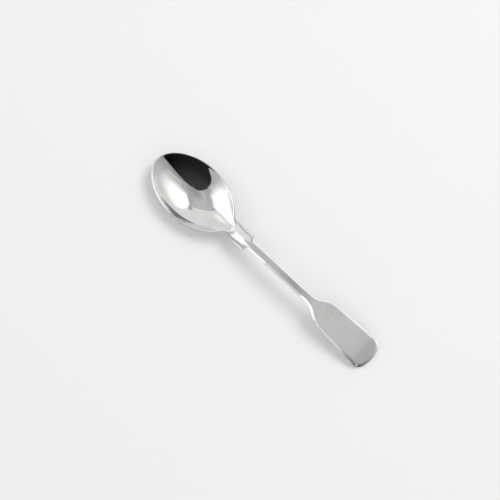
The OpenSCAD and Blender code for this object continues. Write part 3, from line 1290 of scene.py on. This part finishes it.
@dataclass
class NeckAndShoulders(SpoonPart):
    """The raised neck and the square-ended wings beside it."""

    def build(self) -> list[bpy.types.Object]:
        """Builds the neck, then the shoulder of each side.

        Returns:
            The three pieces.
        """
        form = self.form
        neck = NeckRegion(
            form, form.shoulder_s, form.stem_s, form.side_half_w, form.top, form.neck_bottom,
            nose_r=self.edge_r, row_step=0.25,
        )
        wing = ShoulderRegion(
            form, form.stem_s, form.shoulder_s, form.wing_half_w, form.shoulder_top, form.shoulder_bottom,
            turn=Turn.ROUNDED, nose_r=self.rim_r, row_step=0.25, band_w=0.5,
        )
        made = [self.dress("polished_neck", neck.both_sides(), "neck")]
        left = wing.patches()
        for side in Side:
            patches = left if side is Side.LEFT else [p.mirrored() for p in left]
            node = f"{side.name.lower()}_shoulder"
            made.append(self.dress(f"polished_{node}", patches, node))
        return made


@dataclass
class Handle(SpoonPart):
    """The bevelled stem, and the broad end, whose rows fan out at its turned-down lip."""

    def build(self) -> list[bpy.types.Object]:
        """Builds the stem, then the broad end.

        Returns:
            The two pieces.
        """
        form = self.form
        stem = CreasedRegion(
            form, form.stem_s, form.fiddle_s, form.side_half_w, form.top, form.handle_bottom,
            nose_r=self.edge_r, row_step=0.4,
        )
        end = CreasedRegion(
            form, form.spoon_l, form.fiddle_s, form.end_half_w, form.top, form.handle_bottom,
            turn=Turn.ROUNDED, nose_r=self.edge_r, row_step=0.3, inner_steps=20, fan_s=129.0, fan_share=0.3,
        )
        return [
            self.dress("polished_stem", stem.both_sides(), "stem"),
            self.dress("polished_fiddle_end", end.both_sides(), "fiddle_end"),
        ]


@dataclass(frozen=True)
class View:
    """The photograph's view, and directions by it.

    Attributes:
        elevation: the camera's height above the ground, in degrees.
        turn: azimuth of the spoon's X.
        distance: from the aim to the camera, in metres.
        lens: in millimetres.
        sensor: its width, in millimetres.
        nearest: the nearest that the camera sees, in metres.
        aim_right: how far right of the spoon's middle the camera aims, in millimetres.
        aim_up: how far above it in the picture.
    """

    elevation: float = 82.0
    turn: float = -43.0
    distance: float = 0.9
    lens: float = 137.2
    sensor: float = 36.0
    nearest: float = 0.01
    aim_right: float = -6.47
    aim_up: float = 4.65

    def toward(self, azimuth: Array | float, elevation: Array | float) -> Array:
        """Directions by degrees from the picture's right towards its top, and above the ground.

        Args:
            azimuth: turn from the picture's right.
            elevation: turn up from the ground.

        Returns:
            The directions, as the last axis.
        """
        a, e = np.radians(azimuth - self.turn), np.radians(elevation)
        return np.stack(np.broadcast_arrays(np.cos(e) * np.cos(a), np.cos(e) * np.sin(a), np.sin(e)), -1)

    def build(self) -> bpy.types.Object:
        """Makes the camera and sets it as the scene's.

        Returns:
            The camera.
        """
        data = bpy.data.cameras.new("camera")
        data.lens, data.sensor_width, data.clip_start = self.lens, self.sensor, self.nearest
        camera = linked("camera", data)
        right, up = Vector(self.toward(0.0, 0.0)), Vector(self.toward(90.0, 0.0))
        back = Vector(self.toward(-90.0, self.elevation))
        aim = (right * self.aim_right + up * self.aim_up) * MM
        turned = Matrix((right, back.cross(right), back)).transposed().to_4x4()
        camera.matrix_world = Matrix.Translation(aim + back * self.distance) @ turned
        bpy.context.scene.camera = camera
        return camera


@dataclass(frozen=True)
class Card(ABC):
    """A glowing sheet beside the spoon, which only mirror images show: its glow is painted reflection in the
    steel, and it lights nothing.

    Attributes:
        name: the card's name.
        soft: shares over which it fades out: of its width from its first edge and up to its
            other edge, and of its height from below and up to its top.
        cells: cells of its mesh, each way.
    """

    name: str
    soft: tuple[float, float, float, float] = field(default=(0.0, 0.0, 0.0, 0.0), kw_only=True)
    cells: int = field(default=60, kw_only=True)

    @abstractmethod
    def spread(self, view: View, across: Array, upward: Array) -> tuple[Array, Array]:
        """Places of the card's points in metres, and their brightness.

        Args:
            view: the photograph's view, which azimuths are taken from.
            across: share of the card's width of each point.
            upward: share of its height.

        Returns:
            The points, and one shade for each.
        """

    def build(self, view: View) -> bpy.types.Object:
        """Makes the card.

        Args:
            view: the photograph's view, which azimuths are taken from.

        Returns:
            The card.
        """
        shares = np.linspace(0.0, 1.0, self.cells + 1)
        upward, across = np.meshgrid(shares, shares, indexing="ij")
        points, shade = self.spread(view, across, upward)
        index = np.arange(across.size).reshape(across.shape)
        faces = np.stack([index[:-1, :-1], index[1:, :-1], index[1:, 1:], index[:-1, 1:]], -1)
        mesh = bpy.data.meshes.new(self.name)
        mesh.from_pydata(points.reshape(-1, 3).tolist(), [], faces.reshape(-1, 4).tolist())
        for label, values in (("across", across), ("upward", upward), ("shade", shade)):
            attribute = mesh.attributes.new(label, "FLOAT", "POINT")
            attribute.data.foreach_set("value", values.reshape(-1).astype(np.float32))
        mesh.materials.append(self._paint())
        card = linked(self.name, mesh)
        for ray in ("camera", "diffuse", "transmission", "volume_scatter", "shadow"):
            setattr(card, f"visible_{ray}", False)
        return card

    def _paint(self) -> bpy.types.Material:
        """The card's glow, which fades into what lies behind it near its soft edges.

        Returns:
            The material.
        """
        material = bpy.data.materials.new(self.name)
        sheet = NodeSheet.cleared(material)
        across, upward, shade = (
            sheet.add("ShaderNodeAttribute", attribute_name=label).outputs["Fac"]
            for label in ("across", "upward", "shade")
        )
        solid: Socket | float = 1.0
        start, end, low, high = self.soft
        edges = ((across, 0.0, start), (across, 1.0, -end), (upward, 0.0, low), (upward, 1.0, -high))
        for place, edge, run in edges:
            if run:
                solid = sheet.maths("MULTIPLY", solid, sheet.remap(place, edge, edge + run))
        clear = sheet.add("ShaderNodeBsdfTransparent").outputs[0]
        glow = sheet.add("ShaderNodeEmission", Strength=shade).outputs[0]
        blend = sheet.add("ShaderNodeMixShader")
        for target, value in zip(blend.inputs, (solid, clear, glow)):
            sheet.feed(target, value)
        sheet.add("ShaderNodeOutputMaterial", Surface=blend.outputs[0])
        return material


@dataclass(frozen=True)
class DomeCard(Card):
    """A curved card on a dome round the spoon, given at a few elevations.

    A value that is the same at all of them is given once.

    Attributes:
        radius: its distance in metres.
        elevations: the elevations, in degrees.
        starts: azimuth of its first edge.
        ends: azimuth of its other edge.
        shades: brightness of its first edge.
        end_shades: brightness of its other edge, where it isn't the same.
        bend: power of the share of the width by which the brightness changes.
        middle: place along the spoon of the dome's middle, in millimetres.
        square_to: azimuth that its cross lines run square to, as on a flat ceiling.
    """

    radius: float
    elevations: tuple[float, ...]
    starts: Row
    ends: Row
    shades: Row
    end_shades: Row | None = None
    bend: float = field(default=1.0, kw_only=True)
    middle: float = field(default=0.0, kw_only=True)
    square_to: float | None = field(default=None, kw_only=True)

    def spread(self, view: View, across: Array, upward: Array) -> tuple[Array, Array]:
        """Each point lies at its azimuth and elevation; a straight line on a ceiling sinks as the cosine.

        Args:
            view: the photograph's view, which azimuths are taken from.
            across: share of the card's width of each point.
            upward: share of its height.

        Returns:
            The points in metres, and one shade for each.
        """
        elevation = mix(self.elevations[0], self.elevations[-1], upward)
        end_shades = self.shades if self.end_shades is None else self.end_shades
        first, last, first_shade, last_shade = (
            np.interp(elevation, self.elevations, np.broadcast_to(values, len(self.elevations)))
            for values in (self.starts, self.ends, self.shades, end_shades)
        )
        azimuth = mix(first, last, across)
        if self.square_to is not None:
            sunk = np.tan(np.radians(elevation)) * np.cos(np.radians(azimuth - self.square_to))
            elevation = np.degrees(np.arctan(sunk))
        points = view.toward(azimuth, elevation) * self.radius + np.array([self.middle * MM, 0.0, 0.0])
        return points, mix(first_shade, last_shade, across**self.bend)


@dataclass(frozen=True)
class FloorCard(Card):
    """A thin glowing sheet on the floor, spread like a fan: painted reflection, darker or brighter than the
    floor, in the edges near it.

    Attributes:
        middle: place along the spoon that it fans out from, in millimetres.
        reach: how far it reaches, in millimetres.
        lift: its height above the floor, in millimetres.
        azimuths: azimuths in degrees at which its brightness is given.
        shades: its brightness at each of them.
    """

    middle: float
    reach: float
    lift: float
    azimuths: tuple[float, ...]
    shades: tuple[float, ...]

    def spread(self, view: View, across: Array, upward: Array) -> tuple[Array, Array]:
        """Each point lies at its azimuth, and its share of the reach away from the middle.

        Args:
            view: the photograph's view, which azimuths are taken from.
            across: share of the fan's turn of each point.
            upward: share of its reach.

        Returns:
            The points in metres, and one shade for each.
        """
        azimuth = mix(self.azimuths[0], self.azimuths[-1], across)
        out = view.toward(azimuth, 0.0) * upward[..., None] * self.reach
        points = np.array([self.middle, 0.0, self.lift]) + out
        return points * MM, np.interp(azimuth, self.azimuths, self.shades)


@dataclass(frozen=True)
class SoftLamp:
    """A large soft lamp, aimed at the spoon, by degrees, metres and watts."""

    name: str
    azimuth: float
    elevation: float
    distance: float
    width: float
    watts: float

    def build(self, view: View) -> bpy.types.Object:
        """Makes the lamp, which mirror images don't show.

        Args:
            view: the photograph's view, which the azimuth is taken from.

        Returns:
            The lamp.
        """
        data = bpy.data.lights.new(self.name, "AREA")
        data.shape, data.size, data.energy = "DISK", self.width, self.watts
        lamp = linked(self.name, data)
        away = Vector(view.toward(self.azimuth, self.elevation))
        lamp.location = away * self.distance
        lamp.rotation_euler = away.to_track_quat("Z", "Y").to_euler()
        lamp.visible_glossy = False
        return lamp


@dataclass
class Studio:
    """A pale floor, an even world, two soft lamps, and the cards that the steel mirrors.

    Attributes:
        view: the photograph's view.
        floor_w: width of the floor, in metres.
        floor_shade: its grey.
        world_light: strength of the world as a light.
        white: strength of the world as the camera and mirrors see it.
        lamps: the lamps.
        cards: the cards; a nearer one hides what lies behind it.
    """

    view: View
    floor_w: float = 6.0
    floor_shade: float = 0.87
    world_light: float = 0.70
    white: float = 1.0
    lamps: tuple[SoftLamp, ...] = (
        SoftLamp("right_lamp", 38, 52, 1.6, 0.9, 10),
        SoftLamp("left_lamp", 166, 34, 1.6, 0.9, 1.8),
    )
    cards: tuple[Card, ...] = (
        DomeCard("wall_card", 6.4, (-4, 20, 66), -180, 180, (0.82, 0.86, 0.95)),
        DomeCard(
            "ceiling_card", 6.0, (50, 64, 67, 76, 80), (60, 60, 50, 36, 30), (212, 212, 212, 208, 206),
            (0.64, 0.66, 0.67, 0.67, 0.6), (0.46, 0.46, 0.46, 0.46, 0.42),
        ),
        DomeCard(
            "zenith_card", 5.92, (74, 78, 81, 84, 87, 89.9), -180, 180, (0.63, 0.6, 0.52, 0.42, 0.39, 0.37),
            soft=(0, 0, 0.2, 0),
        ),
        DomeCard(
            "backdrop_card", 5.9, (20, 64.5), 58, 152, (0.86, 0.88), (0.86, 0.9), square_to=96,
            soft=(0.05, 0, 0.2, 0),
        ),
        DomeCard("glow_card", 5.86, (22, 52), 112, 139, 1.15, soft=(0.5, 0.15, 0.3, 0.3)),
        DomeCard(
            "bar_card", 5.82, (63, 85), (45, 34), (78, 84), (0.5, 0.44), (0.56, 0.46),
            soft=(0, 0.6, 0.1, 0.3),
        ),
        DomeCard(
            "right_dim_card", 5.88, (24, 50, 80), -66, 40, (0.36, 0.35, 0.34), (0.8, 0.82, 0.5),
            soft=(0, 0.1, 0.2, 0),
        ),
        DomeCard(
            "right_softbox", 5.8, (24, 30, 38, 46, 60, 66, 70, 74, 77, 80),
            (26, 16, 2, -16, -48, -48, -48, -48, -48, -48),
            (46, 51, 55.5, 58.5, 59.5, 57.5, 53, 47, 42, 38),
            (0.72, 0.7, 0.64, 0.56, 0.38, 0.34, 0.34, 0.34, 0.38, 0.5),
            (0.85, 1.02, 1.55, 2.05, 2.3, 2.1, 1.65, 1.1, 0.72, 0.5), soft=(0, 0.035, 0.1, 0.06), bend=1.25,
        ),
        DomeCard("tail_card", 5.78, (54, 83), -42, (8, 2), 0.66, soft=(0.3, 0.5, 0.3, 0.3)),
        DomeCard(
            "left_dim_card", 5.8, (5, 48, 57, 63), 194, 214, (1, 1, 0.6, 0.46), (0.52, 0.52, 0.47, 0.42),
            soft=(0.2, 0, 0, 0),
        ),
        DomeCard(
            "left_low_card", 5.78, (6, 46), (206, 207), (228, 222), (0.58, 0.54), (0.54, 0.46),
            soft=(0.25, 0, 0.15, 0.1),
        ),
        DomeCard(
            "low_dim_card", 5.7, (-2, 24), (-120, -118), -64, (0.36, 0.3), (0.22, 0.18),
            soft=(0.06, 0.1, 0, 0), bend=0.5,
        ),
        DomeCard(
            "left_softbox", 5.6, (-2, 14, 20, 27, 36, 50, 60, 69),
            (156, 155.5, 153, 147.5, 144, 144, 146.5, 152), (200, 204, 206, 208, 208, 205, 202, 194), 1.4,
            soft=(0.07, 0.3, 0.04, 0.17),
        ),
        DomeCard(
            "frame_card", 5.4, (46, 53, 60, 68), (60.5, 60, 59.5, 58.5), (64, 68, 66, 63),
            (0.52, 0.47, 0.47, 0.5), soft=(0.2, 0.2, 0.2, 0.2),
        ),
        DomeCard("seam_card", 5.4, (63.7, 65.5), 60, 146, 0.45, 0.5, square_to=96, soft=(0, 0.2, 0.4, 0.4)),
        DomeCard(
            "dark_card", 5.2, (13, 15.5, 17.5, 19.5, 28, 36, 48, 57, 60, 63, 75, 80, 84.5, 86.5),
            (-106, -113, -133, -136.5, -142, -146, -149.5, -151, -152, -154, -157, -160, -156, -130),
            (-88, -84, -78, -70, -59, -57, -56, -55, -54.5, -54, -53, -53, -60, -100),
            (0.02, 0.02, 0.02, 0.02, 0.02, 0.02, 0.03, 0.04, 0.045, 0.05, 0.05, 0.055, 0.06, 0.06),
            (0.01, 0.01, 0.01, 0, 0, 0, 0, 0.005, 0.01, 0.015, 0.03, 0.045, 0.055, 0.06),
            soft=(0.02, 0.02, 0.05, 0.02),
        ),
        # Near glowing sheets a few centimetres from the handle: painted highlights on its left bevel, at the
        # start and middle of the stem and at the curl into the broad end.
        DomeCard("stem_highlight_card", 0.04, (20, 33), 196, 243, 1.35, 1.15, middle=-5, soft=(0.15, 0.35, 0.1, 0.1)),
        DomeCard("shaft_highlight_card", 0.042, (20, 33), 196, 252, 0.8, 0.76, middle=15, soft=(0.1, 0.15, 0.1, 0.1)),
        DomeCard("curl_highlight_card", 0.025, (34, 50), 194, 254, 1.35, 1.2, middle=35, soft=(0.12, 0.2, 0.1, 0.1)),
        # A glowing sheet low beside the handle: painted highlight on the handle's right bevel.
        DomeCard("right_bevel_highlight_card", 0.25, (0.5, 16), 22, 84, 1.08, 1.05, middle=37, soft=(0.15, 0.15, 0, 0.2)),
        # A dark sheet a little way from the bowl: a painted dark sliver of reflection along the bowl's lower
        # inner rim.
        DomeCard(
            "dark_sliver_reflection_card", 0.1, (0.5, 8, 14, 19, 23), (62, 55, 49, 43, 38), (80, 74, 66, 56, 46), 0.2,
            middle=-45, soft=(0.1, 0.1, 0, 0.1),
        ),
        # A glowing sheet on the floor round the broad end: painted reflection in its bevels, dark towards the
        # lower left and brighter than the floor towards the right.
        FloorCard(
            "end_reflection_card", 62, 60, 0.2, (-120, -104, -88, -70, -10, 15, 50),
            (0.35, 0.05, 0.05, 0.25, 0.65, 1.2, 1.1), soft=(0, 0, 0, 0.3),
        ),
    )

    def build(self) -> list[bpy.types.Object]:
        """Makes the world, the floor, the lamps and the cards.

        Returns:
            The floor, the lamps and the cards.
        """
        self._world()
        return [self._floor()] + [prop.build(self.view) for prop in (*self.lamps, *self.cards)]

    def _floor(self) -> bpy.types.Object:
        """A flat pale floor under the spoon.

        Returns:
            The floor.
        """
        half = self.floor_w / 2.0
        mesh = bpy.data.meshes.new("pale_floor")
        corners = [(-half, -half, 0.0), (half, -half, 0.0), (half, half, 0.0), (-half, half, 0.0)]
        mesh.from_pydata(corners, [], [(0, 1, 2, 3)])
        material = bpy.data.materials.new("pale_floor")
        sheet = NodeSheet.cleared(material)
        colour = (self.floor_shade,) * 3 + (1.0,)
        sheet.surface(Base_Color=colour, Roughness=1.0, Specular_IOR_Level=0.0)
        mesh.materials.append(material)
        floor = linked("pale_floor", mesh)
        return floor

    def _world(self) -> None:
        """An even light, which the camera, metal and glass see as plain white."""
        world = bpy.data.worlds.new("studio")
        bpy.context.scene.world = world
        sheet = NodeSheet.cleared(world)
        rays = sheet.add("ShaderNodeLightPath").outputs
        seen = sheet.maths("MAXIMUM", rays["Is Camera Ray"], rays["Is Glossy Ray"])
        seen = sheet.maths("MAXIMUM", seen, rays["Is Transmission Ray"])
        strength = sheet.maths("MULTIPLY_ADD", seen, self.white - self.world_light, self.world_light)
        light = sheet.add("ShaderNodeBackground", Color=(1.0,) * 4, Strength=strength)
        sheet.add("ShaderNodeOutputWorld", Surface=light.outputs[0])


def main() -> None:
    """Builds the studio and the spoon in order."""
    logging.basicConfig(level=logging.INFO, format="%(message)s")
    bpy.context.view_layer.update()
    bpy.context.scene.view_settings.view_transform = "Standard"
    view = View()
    view.build()
    for prop in Studio(view).build():
        LOG.info("%s stands round the spoon", prop.name)
    form = SpoonForm()
    steel = PolishedSteel().build()
    for part in (Bowl(form, steel), NeckAndShoulders(form, steel), Handle(form, steel)):
        for piece in part.build():
            LOG.info("%s is in place with %d triangles", piece.name, len(piece.data.polygons))


if __name__ == "__main__":
    main()
